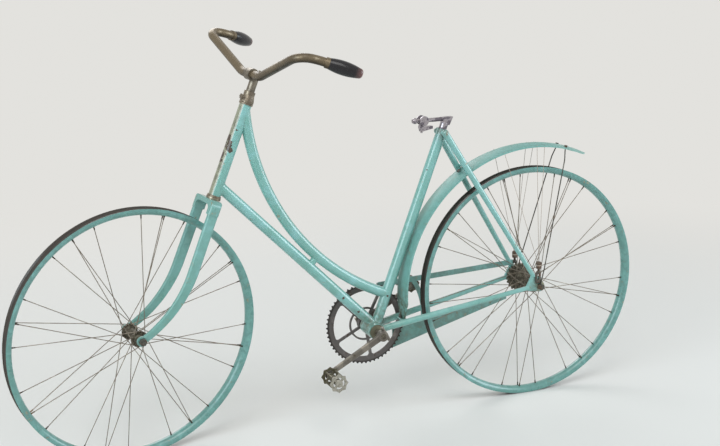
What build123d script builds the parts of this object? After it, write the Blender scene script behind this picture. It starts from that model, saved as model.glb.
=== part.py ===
from build123d import *
from math import asin, cos, degrees, pi, radians, sin
import os

os.makedirs("parts", exist_ok=True)

# A step-through safety bicycle with bare wooden rims, in millimetres.
# X points the way it rides, Y to the rider's left and Z up.
# Reaches are measured forward from the rear hub, rises upward from it and sides to the left.
# The origin is the top of the saddle arm, where a rider's weight goes.

# Layout of the frame
BRACKET_REACH, BRACKET_DROP = 482.0, 77.0
MEETING_REACH, MEETING_DROP = 473.0, 71.0
SEAT_LUG_REACH, SEAT_LUG_RISE = 268.0, 455.0
SADDLE_REACH, SADDLE_RISE = 296.0, 488.0
HEAD_FOOT_REACH, HEAD_FOOT_RISE = 909.0, 330.0
HEAD_ANGLE = 67.8
HEAD_LENGTH = 251.0
TOP_TUBE_DROP = 14.0
TOP_TUBE_END = 95.0
TOP_TUBE_BOW = 96.0
DOWN_TUBE_HEIGHT = 31.5
STRUT_SHARE = 0.66

# Tubes, by their outside diameters
MAIN_TUBE = 28.6
HEAD_TUBE, HEAD_BORE = 31.8, 28.0
STRUT_TUBE = 20.0
STAY_FRONT, STAY_REAR = 19.0, 12.5
STAY_CAP = 0.4
SHELL_DIAMETER, SHELL_BORE, SHELL_WIDTH = 44.0, 36.0, 68.0

# Head bearings
CUP_HEIGHT, CUP_RADIUS = 4.5, 18.0
RACE_HEIGHT, RACE_RADIUS = 6.0, 19.0
STEERER = 25.0
COLLAR_FOOT, COLLAR_CONE, COLLAR_HEIGHT, COLLAR_NECK = 6.0, 20.0, 30.0, 14.5
RUN_GAP = 0.3

# Rear fork ends
DROPOUT_SIDE, DROPOUT_THICK = 64.0, 6.0
DROPOUT_RADIUS, DROPOUT_LUG = 15.0, 8.0
CHAIN_STAY_LUG_REACH, CHAIN_STAY_LUG_DROP = 34.0, 1.0
SEAT_STAY_LUG_REACH, SEAT_STAY_LUG_RISE = 18.0, 30.0
CHAIN_STAY_SIDE = 22.0
SEAT_STAY_SIDE, SEAT_STAY_DROP = 24.0, 8.0

# Saddle pillar and clamp
PILLAR_DIAMETER, PILLAR_RISE = 22.0, 18.0
PILLAR_HEAD_WIDTH, PILLAR_HEAD_FRONT, PILLAR_HEAD_BACK = 18.0, 8.0, 22.0
PILLAR_HEAD_DEPTH = 22.0
SADDLE_ARM, SADDLE_ARM_REACH = 11.0, 50.0
KNOB_RADIUS, KNOB_NOSE, KNOB_LENGTH = 8.0, 5.5, 10.0
CLAMP_REACH, CLAMP_LENGTH, CLAMP_RADIUS = 30.0, 14.0, 11.0
TONGUE_DROP, TONGUE_LEG, TONGUE_THICK = 24.0, 34.0, 7.0
CHEEK_SIDE, CHEEK_THICK, CHEEK_RADIUS = 13.0, 4.0, 13.0

# Wheels
RIM_RADIUS, RIM_WIDTH = 330.0, 30.0
RIM_EDGE, RIM_DEPTH, RIM_HOLLOW = 6.0, 18.0, 6.5
SPOKE_DIAMETER, SPOKE_CROSSINGS = 2.0, 3
SPOKE_SIDE, SPOKE_ROOT = 3.2, 1.5
FLANGE_THICK, HUB_NECK, HUB_STEP = 3.0, 6.0, 4.0
CONE_RADIUS = 11.0
AXLE_DIAMETER, AXLE_CLEARANCE, AXLE_STUB = 9.0, 0.4, 5.0
NUT_ACROSS, NUT_THICK = 17.0, 9.0

# Chain wheel and sprocket
CHAIN_LINE, CHAIN_PITCH = 50.0, 12.7
RING_TEETH, SPROCKET_TEETH = 56, 20
PLATE_THICK = 4.0
TOOTH_HEIGHT, TOOTH_WIDTH, TOOTH_SLOPE = 5.0, 8.0, 62.0
RING_BAND, RING_ARMS, RING_ARM_ANGLE, RING_ARM_WIDTH = 17.0, 5, -27.0, 8.0
RING_HOOP, RING_HOOP_BAND = 47.0, 5.0
RING_BOSS, RING_CORNER = 20.0, 7.0
SPROCKET_SEAT, SPROCKET_LIP = 18.0, 3.0

# Cranks and their bearings
CRANK_LENGTH, CRANK_ANGLE = 178.0, -28.7
CRANK_SIDE, CRANK_AXLE = 72.0, 16.0
CRANK_BOSS, CRANK_BOSS_WIDTH = 14.0, 18.0
CRANK_EYE, CRANK_EYE_WIDTH = 11.0, 13.0
CRANK_WIDE, CRANK_THICK, CRANK_CORNER = 20.0, 12.0, 5.0
CRANK_TIP_WIDE, CRANK_TIP_THICK, CRANK_TIP_CORNER = 14.0, 9.0, 3.5
COTTER_DIAMETER, COTTER_LENGTH, COTTER_OFFSET = 9.0, 42.0, 10.5
BEARING_GAP, BEARING_DEPTH, BEARING_LIP = 0.5, 8.0, 4.0

# Pedals
PEDAL_START, PEDAL_WIDTH = 84.0, 66.0
PEDAL_LOBES, PEDAL_LOBE, PEDAL_VALLEY = 8, 25.5, 21.5
PEDAL_WINDOW, PEDAL_PLATE = 15.5, 3.0
PEDAL_SPINDLE, PEDAL_BARREL, PEDAL_CAP = 13.0, 19.0, 6.0
PEDAL_ROD, PEDAL_RODS, PEDAL_ROD_RING = 6.0, 4, 18.5

# Fork
STEER_REST = 10.8
FORK_RAKE, FORK_DROP = 86.0, 391.6
CROWN_DEPTH, CROWN_MARGIN, CROWN_SHOULDER = 36.0, 1.0, 18.0
CROWN_BRIDGE, CROWN_LEG, CROWN_ARCH = 13.0, 17.0, 12.0
BLADE_FORWARD, BLADE_STRAIGHT = 10.0, 190.0
BLADE_TOP_SIDE, BLADE_TIP_SIDE = 43.0, 50.0
BLADE_WIDE, BLADE_THICK = 28.5, 14.0
BLADE_TIP_WIDE, BLADE_TIP_THICK = 19.0, 9.0
BLADE_SECTIONS = (0.0, 0.34, 0.67, 0.96)
TIP_RADIUS, TIP_THICK = 13.0, 6.0

# Stem and handlebar
STEM_DIAMETER, STEM_TOP, STEM_REACH = 22.0, 323.0, 14.0
SLEEVE_LENGTH, SLEEVE_WALL = 26.0, 4.5
EAR_REACH, EAR_DEPTH, EAR_WIDTH, EAR_SLIT = 12.0, 12.0, 12.0, 2.5
EAR_BOLT, EAR_HEAD, EAR_HEAD_THICK = 6.0, 10.0, 4.0
BAR_DIAMETER = 22.2
FERRULE_DIAMETER, FERRULE_LENGTH = 27.2, 10.0
GRIP_ROOT, GRIP_BELLY, GRIP_NECK, GRIP_NOSE, GRIP_ROUND = 14.0, 17.4, 12.5, 4.0, 9.0

# Rear mudguard
FENDER_RADIUS, FENDER_WIDTH, FENDER_THICK, FENDER_CROWN = 397.0, 64.0, 4.0, 5.0
FENDER_FOOT, FENDER_TAIL = -9.0, 116.0
FENDER_FOOT_WIDTH, FENDER_TAPER = 24.0, 48.0
BRIDGE_ANGLE, BRIDGE_TUBE = 60.0, 8.0
WIRE, WIRE_ANGLE, WIRE_SIDE, WIRE_BEND = 3.2, 105.0, 24.0, 30.0
WIRE_EYE, WIRE_BOLT, WIRE_BOLT_HEAD = 17.0, 9.0, 4.0

# Chain guard
GUARD_SIDE, GUARD_THICK = 59.0, 3.0
GUARD_BACK, GUARD_NOSE = 38.0, 436.0
GUARD_RAIL, GUARD_RAIL_REAR, GUARD_RAIL_FRONT = 15.0, 43.0, 26.0
GUARD_BEND, GUARD_BEND_WIDTH = 171.5, 13.0
GUARD_BAND_DROP, GUARD_BAND = 46.0, 18.0
GUARD_FRONT, GUARD_FRONT_DROP, GUARD_FRONT_BAND = 397.0, 97.0, 64.0
GUARD_STUD = 7.0


def spot(reach, rise, side=0.0):
    """Point at a reach and rise from the rear hub, in the object's own frame."""
    return Vector(reach - SADDLE_REACH, side, rise - SADDLE_RISE)


def span(start, end):
    return (Vector(end) - Vector(start)).length


def across(start, end):
    """Plane at start, square to the way to end."""
    return Plane(origin=start, z_dir=Vector(end) - Vector(start))


def side_plane(side, centre):
    """Plane parallel to the wheels, with local x forward and local y up, facing the right."""
    return Plane(origin=(centre.X, side, centre.Z), x_dir=(1, 0, 0), z_dir=(0, -1, 0))


def rod(start, end, diameter):
    """A round rod from start to end."""
    with BuildPart() as piece:
        with BuildSketch(across(start, end)):
            Circle(diameter / 2)
        extrude(amount=span(start, end))
    return piece.part


def turned(plane, outline):
    """A turned piece: outline holds (radius, height) pairs about the plane's own z axis."""
    with BuildPart() as piece:
        with BuildSketch(Plane(origin=plane.origin, x_dir=plane.x_dir, z_dir=-plane.y_dir)):
            Polygon(*outline, align=None)
        revolve(axis=Axis(plane.origin, plane.z_dir))
    return piece.part


def hex_radius(across_flats):
    return across_flats / 2 / cos(pi / 6)


LEFT = Vector(0, 1, 0)
REAR_HUB = spot(0.0, 0.0)
BRACKET = spot(BRACKET_REACH, -BRACKET_DROP)
MEETING = spot(MEETING_REACH, -MEETING_DROP)
SEAT_LUG = spot(SEAT_LUG_REACH, SEAT_LUG_RISE)
SEAT_RUN = (SEAT_LUG - MEETING).normalized()
HEAD_FOOT = spot(HEAD_FOOT_REACH, HEAD_FOOT_RISE)
HEAD_UP = Vector(-cos(radians(HEAD_ANGLE)), 0, sin(radians(HEAD_ANGLE)))
HEAD_FORWARD = Vector(sin(radians(HEAD_ANGLE)), 0, cos(radians(HEAD_ANGLE)))
head_plane = Plane(origin=HEAD_FOOT, x_dir=HEAD_FORWARD, z_dir=HEAD_UP)
fork_plane = Plane(head_plane.location * Location((0, 0, 0), (0, 0, STEER_REST)))
FORK_FORWARD, FORK_LEFT = fork_plane.x_dir, fork_plane.y_dir


def on_head(height):
    """Point on the steering axis, at a height over the foot of the head tube."""
    return head_plane.from_local_coords(Vector(0, 0, height))


def on_fork(forward, side, up):
    """Point in the turned fork: ahead of the steering axis, to the left, up along the axis."""
    return fork_plane.from_local_coords(Vector(forward, side, up))


FRONT_HUB = on_fork(FORK_RAKE, 0, -FORK_DROP)

# Head tube: a plain thin tube between two pressed bearing cups.
with BuildPart() as head_tube:
    with BuildSketch(head_plane.offset(CUP_HEIGHT)):
        Circle(HEAD_TUBE / 2)
        Circle(HEAD_BORE / 2, mode=Mode.SUBTRACT)
    extrude(amount=HEAD_LENGTH - 2 * CUP_HEIGHT)

with BuildPart() as headset_cups:
    for height in (0.0, HEAD_LENGTH - CUP_HEIGHT):
        with BuildSketch(head_plane.offset(height)):
            Circle(CUP_RADIUS)
            Circle(HEAD_BORE / 2, mode=Mode.SUBTRACT)
        extrude(amount=CUP_HEIGHT)

# Bottom bracket shell, and the solid bodies that the tubes are coped to.
shell_side = LEFT * (SHELL_WIDTH / 2)
shell_body = rod(BRACKET - shell_side, BRACKET + shell_side, SHELL_DIAMETER)
head_body = rod(on_head(CUP_HEIGHT), on_head(HEAD_LENGTH - CUP_HEIGHT), HEAD_TUBE)
with BuildPart() as bottom_bracket:
    add(shell_body)
    add(rod(BRACKET - shell_side, BRACKET + shell_side, SHELL_BORE), mode=Mode.SUBTRACT)

# Seat tube, from the shell up to the saddle. The tubes' lines meet a little above and
# behind the middle of the shell.
with BuildPart() as seat_tube:
    add(rod(MEETING, SEAT_LUG, MAIN_TUBE))
    add(shell_body, mode=Mode.SUBTRACT)

# Down tube: from low on the head tube straight to the shell.
down_start = on_head(DOWN_TUBE_HEIGHT)
with BuildPart() as down_tube:
    add(rod(down_start, MEETING, MAIN_TUBE))
    add(head_body, mode=Mode.SUBTRACT)
    add(shell_body, mode=Mode.SUBTRACT)
    add(seat_tube.part, mode=Mode.SUBTRACT)

# Top tube: one long arc, from the top of the head tube down and back to the seat tube just
# above the shell. It bows away from the rider by TOP_TUBE_BOW at its middle.
top_start = on_head(HEAD_LENGTH - TOP_TUBE_DROP)
top_end = MEETING + SEAT_RUN * TOP_TUBE_END
top_bow = (top_end - top_start).normalized().cross(LEFT) * TOP_TUBE_BOW
with BuildPart() as top_tube:
    with BuildLine():
        top_path = ThreePointArc(top_start, (top_start + top_end) / 2 + top_bow, top_end)
    with BuildSketch(Plane(origin=top_path @ 0, z_dir=top_path % 0)):
        Circle(MAIN_TUBE / 2)
    sweep(path=top_path)
    add(head_body, mode=Mode.SUBTRACT)
    add(rod(MEETING, SEAT_LUG, MAIN_TUBE + RUN_GAP), mode=Mode.SUBTRACT)

# Short strut between the two tubes, square to the down tube.
down_run = (MEETING - down_start).normalized()
strut_top = top_path @ STRUT_SHARE
strut_foot = down_start + down_run * (strut_top - down_start).dot(down_run)
with BuildPart() as frame_strut:
    add(rod(strut_foot, strut_top, STRUT_TUBE))
    add(down_tube.part, mode=Mode.SUBTRACT)
    add(top_tube.part, mode=Mode.SUBTRACT)

# Rear fork ends: plates that take the axle, the chain stay and the seat stay.
with BuildPart() as dropout_left:
    with BuildSketch(side_plane(DROPOUT_SIDE + DROPOUT_THICK / 2, REAR_HUB)):
        Circle(DROPOUT_RADIUS)
        with Locations(
            (CHAIN_STAY_LUG_REACH, -CHAIN_STAY_LUG_DROP),
            (SEAT_STAY_LUG_REACH, SEAT_STAY_LUG_RISE),
        ):
            Circle(DROPOUT_LUG)
        make_hull()
        Circle(AXLE_DIAMETER / 2 + AXLE_CLEARANCE, mode=Mode.SUBTRACT)
    extrude(amount=DROPOUT_THICK)

with BuildPart() as dropout_right:
    mirror(dropout_left.part, about=Plane.XZ)


# Stays: thin tapered tubes, slotted over the plates at the rear.
def build_stay(start, end):
    with BuildPart() as stay:
        with BuildSketch(across(start, end)):
            Circle(STAY_FRONT / 2)
        with BuildSketch(across(start, end).offset(span(start, end))):
            Circle(STAY_REAR / 2)
        loft()
    return stay.part


chain_stay_start = BRACKET + LEFT * CHAIN_STAY_SIDE
chain_stay_end = spot(CHAIN_STAY_LUG_REACH, -CHAIN_STAY_LUG_DROP, DROPOUT_SIDE)
with BuildPart() as chain_stay_left:
    add(build_stay(chain_stay_start, chain_stay_end))
    add(shell_body, mode=Mode.SUBTRACT)
    add(dropout_left.part, mode=Mode.SUBTRACT)

with BuildPart() as chain_stay_right:
    mirror(chain_stay_left.part, about=Plane.XZ)

seat_stay_start = SEAT_LUG + LEFT * SEAT_STAY_SIDE - SEAT_RUN * SEAT_STAY_DROP
seat_stay_end = spot(SEAT_STAY_LUG_REACH, SEAT_STAY_LUG_RISE, DROPOUT_SIDE)
with BuildPart() as seat_stay_left:
    add(build_stay(seat_stay_start, seat_stay_end))
    with Locations(seat_stay_start):
        Sphere(STAY_FRONT / 2 + STAY_CAP)
    add(seat_tube.part, mode=Mode.SUBTRACT)
    add(dropout_left.part, mode=Mode.SUBTRACT)

with BuildPart() as seat_stay_right:
    mirror(seat_stay_left.part, about=Plane.XZ)

# Saddle pillar: a short post, its forged head, a thin arm forward and the knob on its end.
ORIGIN = Vector(0, 0, 0)
pillar_top = SEAT_LUG + SEAT_RUN * PILLAR_RISE
arm_rise = -SADDLE_ARM / 2
arm_tip = Vector(SADDLE_ARM_REACH, 0, arm_rise)
with BuildPart() as saddle_pillar:
    add(rod(SEAT_LUG, pillar_top, PILLAR_DIAMETER))
    with BuildSketch(side_plane(PILLAR_HEAD_WIDTH / 2, ORIGIN)):
        Polygon(
            (pillar_top.X - PILLAR_DIAMETER / 2, -PILLAR_HEAD_DEPTH),
            (pillar_top.X + PILLAR_HEAD_FRONT, -PILLAR_HEAD_DEPTH),
            (pillar_top.X + PILLAR_HEAD_FRONT, 0),
            (pillar_top.X - PILLAR_HEAD_BACK, 0),
            align=None,
        )
    extrude(amount=PILLAR_HEAD_WIDTH)
    add(rod(Vector(pillar_top.X, 0, arm_rise), arm_tip, SADDLE_ARM))
    knob_outline = [
        (0, 0), (KNOB_RADIUS, 0), (KNOB_RADIUS, KNOB_LENGTH / 2), (KNOB_NOSE, KNOB_LENGTH),
        (0, KNOB_LENGTH),
    ]
    add(turned(Plane(origin=arm_tip, z_dir=(1, 0, 0)), knob_outline))

# Saddle clamp: a sleeve on the arm with a tongue that hangs down and turns back, two round
# cheeks for the saddle's wires and a small bolt through its foot.
clamp_back, clamp_front = CLAMP_REACH - CLAMP_LENGTH / 2, CLAMP_REACH + CLAMP_LENGTH / 2
tongue_top = arm_rise - SADDLE_ARM / 2
tongue_foot = tongue_top - TONGUE_DROP
with BuildPart() as saddle_clamp:
    add(rod(Vector(clamp_back, 0, arm_rise), Vector(clamp_front, 0, arm_rise), 2 * CLAMP_RADIUS))
    with BuildSketch(side_plane(CLAMP_LENGTH / 2, ORIGIN)):
        Polygon(
            (clamp_front, tongue_top),
            (clamp_front + TONGUE_THICK / 2, (tongue_top + tongue_foot) / 2),
            (clamp_front, tongue_foot),
            (clamp_front - TONGUE_LEG, tongue_foot + TONGUE_THICK),
            (clamp_front - TONGUE_LEG, tongue_foot + 2 * TONGUE_THICK),
            (clamp_front - TONGUE_THICK, tongue_foot + 2 * TONGUE_THICK),
            (clamp_front - TONGUE_THICK, tongue_top),
            align=None,
        )
    extrude(amount=CLAMP_LENGTH)
    for side in (-1, 1):
        cheek = Vector(CLAMP_REACH, side * (CHEEK_SIDE - CHEEK_THICK), arm_rise)
        add(rod(cheek, cheek + LEFT * side * CHEEK_THICK, 2 * CHEEK_RADIUS))
    foot_bolt = Vector(clamp_front - TONGUE_THICK / 2, 0, tongue_foot)
    add(rod(foot_bolt - Vector(0, 0, TONGUE_THICK / 2), foot_bolt + Vector(0, 0, TONGUE_THICK / 2), EAR_BOLT))
    add(rod(Vector(0, 0, arm_rise), arm_tip, SADDLE_ARM), mode=Mode.SUBTRACT)

# Rear mudguard: a crowned band bent about the wheel, narrowed at its foot to go between the
# chain stays, with a rounded tail, and notched for the seat stays.
fender_half = FENDER_WIDTH / 2


def on_fender(angle, side, radius):
    """Plane that faces outward from the wheel, its local x along the axle and y up the band."""
    out = Vector(cos(radians(angle)), 0, sin(radians(angle)))
    return Plane(origin=REAR_HUB + out * radius + LEFT * side, x_dir=LEFT, z_dir=out)


def fender_drop(side):
    """How far the band has fallen from its crown at a side."""
    return FENDER_CROWN * (side / fender_half) ** 2


fender_edge = FENDER_RADIUS - FENDER_CROWN
fender_cut = 4 * (FENDER_CROWN + FENDER_THICK)
with BuildPart() as rear_fender:
    foot_out = on_fender(FENDER_FOOT, 0, 0).z_dir
    with BuildSketch(Plane(origin=REAR_HUB, x_dir=LEFT, z_dir=LEFT.cross(foot_out))):
        with BuildLine():
            outer = ThreePointArc(
                (-fender_half, fender_edge), (0, FENDER_RADIUS), (fender_half, fender_edge)
            )
            inner = ThreePointArc(
                (-fender_half, fender_edge - FENDER_THICK),
                (0, FENDER_RADIUS - FENDER_THICK),
                (fender_half, fender_edge - FENDER_THICK),
            )
            Line(outer @ 0, inner @ 0)
            Line(outer @ 1, inner @ 1)
        make_face()
    revolve(axis=Axis(REAR_HUB, -LEFT), revolution_arc=FENDER_TAIL - FENDER_FOOT)
    with BuildSketch(on_fender(FENDER_FOOT, 0, FENDER_RADIUS - fender_cut / 2)):
        for side in (-1, 1):
            Polygon(
                (side * FENDER_FOOT_WIDTH / 2, -FENDER_WIDTH),
                (side * FENDER_FOOT_WIDTH / 2, 0),
                (side * (fender_half + STAY_CAP), FENDER_TAPER),
                (side * FENDER_WIDTH, FENDER_TAPER),
                (side * FENDER_WIDTH, -FENDER_WIDTH),
                align=None,
            )
    extrude(amount=fender_cut, mode=Mode.SUBTRACT)
    with BuildSketch(on_fender(FENDER_TAIL, 0, FENDER_RADIUS - fender_cut / 2)):
        Rectangle(2 * FENDER_WIDTH, FENDER_WIDTH)
        with Locations((0, -fender_half)):
            Circle(fender_half + STAY_CAP, mode=Mode.SUBTRACT)
    extrude(amount=fender_cut, mode=Mode.SUBTRACT)
    for stay in (seat_stay_left, seat_stay_right):
        add(stay.part, mode=Mode.SUBTRACT)

# Cross pieces that carry the mudguard: between the seat stays and between the chain stays.
bridge_radius = FENDER_RADIUS + RUN_GAP + BRIDGE_TUBE / 2
with BuildPart() as stay_bridges:
    for angle in (BRIDGE_ANGLE, FENDER_FOOT):
        left_end = on_fender(angle, fender_half, bridge_radius).origin
        right_end = on_fender(angle, -fender_half, bridge_radius).origin
        add(rod(left_end, right_end, BRIDGE_TUBE))
    for stay in (seat_stay_left, seat_stay_right, chain_stay_left, chain_stay_right):
        add(stay.part, mode=Mode.SUBTRACT)

# Wire stays of the mudguard: an eye on the rear axle, a long wire, and a small bolt through
# each edge of the band.
eye_side = DROPOUT_SIDE + DROPOUT_THICK / 2
wire_side = eye_side + WIRE / 2
wire_top = FENDER_RADIUS - FENDER_THICK - fender_drop(WIRE_SIDE) - WIRE / 2
with BuildPart() as fender_stays:
    foot = REAR_HUB + LEFT * wire_side
    knee = on_fender(WIRE_ANGLE, wire_side, WIRE_BEND + WIRE_EYE).origin
    shoulder = on_fender(WIRE_ANGLE, fender_half + WIRE, wire_top - WIRE_BEND).origin
    with BuildLine() as wire_path:
        FilletPolyline(
            foot, knee, shoulder, on_fender(WIRE_ANGLE, WIRE_SIDE, wire_top).origin,
            radius=[WIRE_BEND, WIRE_BEND],
        )
    with BuildSketch(Plane(origin=foot, z_dir=wire_path.line % 0)):
        Circle(WIRE / 2)
    sweep(path=wire_path.line)
    add(rod(REAR_HUB + LEFT * eye_side, REAR_HUB + LEFT * (eye_side + WIRE), WIRE_EYE))
    with BuildSketch(on_fender(WIRE_ANGLE, WIRE_SIDE, fender_edge)):
        Circle(WIRE_BOLT / 2)
    extrude(amount=FENDER_CROWN + WIRE_BOLT_HEAD / 2)
    axle_bore = AXLE_DIAMETER + 2 * AXLE_CLEARANCE
    add(rod(REAR_HUB, REAR_HUB + LEFT * (eye_side + 2 * WIRE), axle_bore), mode=Mode.SUBTRACT)
    add(rear_fender.part, mode=Mode.SUBTRACT)
    mirror(about=Plane.XZ)

# Chain guard: a thin painted loop beside the chain. A rail runs back to the seat stay, a band
# that widens forward runs under the chain, and an arc behind the chain wheel joins them.
guard_inner = GUARD_SIDE - GUARD_THICK / 2
with BuildLine() as guard_bend:
    bend_rise = GUARD_RAIL_FRONT + MEETING_DROP
    bend_top = 180.0 - degrees(asin(bend_rise / GUARD_BEND))
    bend_foot = 180.0 + degrees(asin((GUARD_FRONT_DROP - MEETING_DROP) / GUARD_BEND))
    CenterArc((MEETING_REACH, -MEETING_DROP), GUARD_BEND, bend_top, bend_foot - bend_top)
with BuildLine() as guard_rail:
    Line((SEAT_STAY_LUG_REACH, GUARD_RAIL_REAR), (GUARD_NOSE, GUARD_RAIL_FRONT))
with BuildPart() as chain_guard:
    with BuildSketch(side_plane(-guard_inner, REAR_HUB)):
        SlotArc(guard_rail.edges()[0], GUARD_RAIL)
        SlotArc(guard_bend.edges()[0], GUARD_BEND_WIDTH)
        Polygon(
            (GUARD_BACK, -GUARD_BAND_DROP),
            (GUARD_FRONT, -GUARD_FRONT_DROP),
            (GUARD_FRONT, -GUARD_FRONT_DROP - GUARD_FRONT_BAND),
            (GUARD_BACK, -GUARD_BAND_DROP - GUARD_BAND),
            align=None,
        )
    extrude(amount=GUARD_THICK)
    add(seat_stay_right.part, mode=Mode.SUBTRACT)
    split(bisect_by=Plane(origin=spot(SEAT_STAY_LUG_REACH, 0), z_dir=(1, 0, 0)))

# A short stud carries the guard on the chain stay.
flat_stay = Vector(chain_stay_end.X - chain_stay_start.X, 0, chain_stay_end.Z - chain_stay_start.Z)
stay_run = (chain_stay_end - chain_stay_start) / flat_stay.length
stay_cross = chain_stay_start + stay_run * (GUARD_BEND + BRACKET_REACH - MEETING_REACH)
with BuildPart() as guard_brackets:
    stud_root = Vector(stay_cross.X, -stay_cross.Y, stay_cross.Z)
    add(rod(stud_root, Vector(stud_root.X, -guard_inner, stud_root.Z), GUARD_STUD))
    add(chain_stay_right.part, mode=Mode.SUBTRACT)


# Axles, each with a nut outside its fork ends.
def build_axle(centre, along, nut_side):
    half = nut_side + NUT_THICK + AXLE_STUB
    with BuildPart() as axle:
        add(rod(centre - along * half, centre + along * half, AXLE_DIAMETER))
        for way in (-1, 1):
            with BuildSketch(Plane(origin=centre + along * way * nut_side, z_dir=along * way)):
                RegularPolygon(hex_radius(NUT_ACROSS), 6)
            extrude(amount=NUT_THICK)
    return axle.part


with BuildPart() as rear_axle:
    add(build_axle(REAR_HUB, LEFT, eye_side + WIRE))
with BuildPart() as front_axle:
    add(build_axle(FRONT_HUB, FORK_LEFT, BLADE_TIP_SIDE + TIP_THICK / 2))

# Fork crown with its steerer: a low bridge whose rounded shoulders turn down as sockets for
# the blades.
crown_top = -RACE_HEIGHT
crown_half = BLADE_TOP_SIDE + CROWN_LEG / 2
crown_length = BLADE_WIDE + 2 * CROWN_MARGIN
with BuildPart() as fork_crown:
    crown_back = on_fork(BLADE_FORWARD - crown_length / 2, 0, crown_top)
    with BuildSketch(Plane(origin=crown_back, x_dir=FORK_LEFT, z_dir=FORK_FORWARD)):
        with Locations((0, -CROWN_DEPTH / 2)):
            shoulders = Rectangle(2 * crown_half, CROWN_DEPTH)
        fillet(shoulders.vertices().group_by(Axis.Y)[-1], CROWN_SHOULDER)
        with BuildSketch(mode=Mode.SUBTRACT):
            with Locations((0, -CROWN_BRIDGE - CROWN_DEPTH / 2)):
                arch = Rectangle(2 * (crown_half - CROWN_LEG), CROWN_DEPTH)
            fillet(arch.vertices().group_by(Axis.Y)[-1], CROWN_ARCH)
    extrude(amount=crown_length)
    with BuildSketch(fork_plane.offset(crown_top - CROWN_DEPTH)):
        with Locations((BLADE_FORWARD, 0)):
            RectangleRounded(crown_length, 2 * crown_half, CROWN_LEG / 2 - 1.0)
    extrude(amount=CROWN_DEPTH, mode=Mode.INTERSECT)
    add(rod(on_fork(0, 0, crown_top - CROWN_BRIDGE), on_fork(0, 0, HEAD_LENGTH + RUN_GAP), STEERER))

with BuildPart() as headset_race:
    with BuildSketch(fork_plane.offset(crown_top)):
        Circle(RACE_RADIUS)
        Circle(STEERER / 2, mode=Mode.SUBTRACT)
    extrude(amount=RACE_HEIGHT - RUN_GAP)

# Top collar of the head bearing: a cone with a pinch bolt at its front.
collar_base = HEAD_LENGTH + RUN_GAP
with BuildPart() as headset_collar:
    collar_outline = [
        (0, 0), (CUP_RADIUS, 0), (CUP_RADIUS, COLLAR_FOOT), (COLLAR_NECK, COLLAR_CONE),
        (COLLAR_NECK, COLLAR_HEIGHT), (0, COLLAR_HEIGHT),
    ]
    add(turned(fork_plane.offset(collar_base), collar_outline))
    with BuildSketch(fork_plane.offset(collar_base + COLLAR_FOOT)):
        with Locations((COLLAR_NECK, 0)):
            Rectangle(EAR_REACH, EAR_WIDTH)
    extrude(amount=EAR_DEPTH)
    ear_bolt = on_fork(CUP_RADIUS - 1.0, 0, collar_base + COLLAR_FOOT + EAR_DEPTH / 2)
    bolt_half = FORK_LEFT * (EAR_WIDTH / 2 + EAR_HEAD_THICK)
    add(rod(ear_bolt - bolt_half, ear_bolt + bolt_half, EAR_BOLT))


# Fork blades: broad flat-sided tubes, straight under the crown and then curved forward.
def build_blade(side):
    """One blade; side is 1 for the left and -1 for the right."""
    top = on_fork(BLADE_FORWARD, side * BLADE_TOP_SIDE, crown_top - CROWN_DEPTH)
    tip = on_fork(FORK_RAKE, side * BLADE_TIP_SIDE, -FORK_DROP)
    down = on_fork(BLADE_FORWARD, side * BLADE_TIP_SIDE, -FORK_DROP) - top
    blade_plane = Plane(origin=top, x_dir=down, z_dir=down.cross(FORK_FORWARD))
    reach = blade_plane.to_local_coords(tip)
    straight = BLADE_STRAIGHT + crown_top - CROWN_DEPTH
    with BuildPart() as blade:
        with BuildLine(blade_plane):
            run = Line((0, 0), (straight, 0))
            bend = TangentArc((straight, 0), (reach.X, reach.Y), tangent=run % 1)
        with BuildSketch(Plane(origin=run @ 0, x_dir=FORK_FORWARD, z_dir=run % 0)):
            RectangleRounded(BLADE_WIDE, BLADE_THICK, BLADE_THICK / 2 - 1.0)
        extrude(amount=straight)
        for share in BLADE_SECTIONS:
            wide = BLADE_WIDE + (BLADE_TIP_WIDE - BLADE_WIDE) * share
            thick = BLADE_THICK + (BLADE_TIP_THICK - BLADE_THICK) * share
            across_bend = (bend % share).cross(blade_plane.z_dir)
            with BuildSketch(Plane(origin=bend @ share, x_dir=across_bend, z_dir=bend % share)):
                RectangleRounded(wide, thick, thick / 2 - 1.0)
        loft()
        tip_side = FORK_LEFT * (TIP_THICK / 2)
        add(rod(tip - tip_side, tip + tip_side, 2 * TIP_RADIUS))
        for way in (-1, 1):
            face = tip + tip_side * way
            add(rod(face, face + FORK_LEFT * way * BLADE_WIDE, 2 * CONE_RADIUS), mode=Mode.SUBTRACT)
        axle_bore = AXLE_DIAMETER + 2 * AXLE_CLEARANCE
        add(rod(tip - tip_side * 2, tip + tip_side * 2, axle_bore), mode=Mode.SUBTRACT)
        add(fork_crown.part, mode=Mode.SUBTRACT)
    return blade.part


with BuildPart() as fork_blade_left:
    add(build_blade(1))
with BuildPart() as fork_blade_right:
    add(build_blade(-1))

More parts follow.
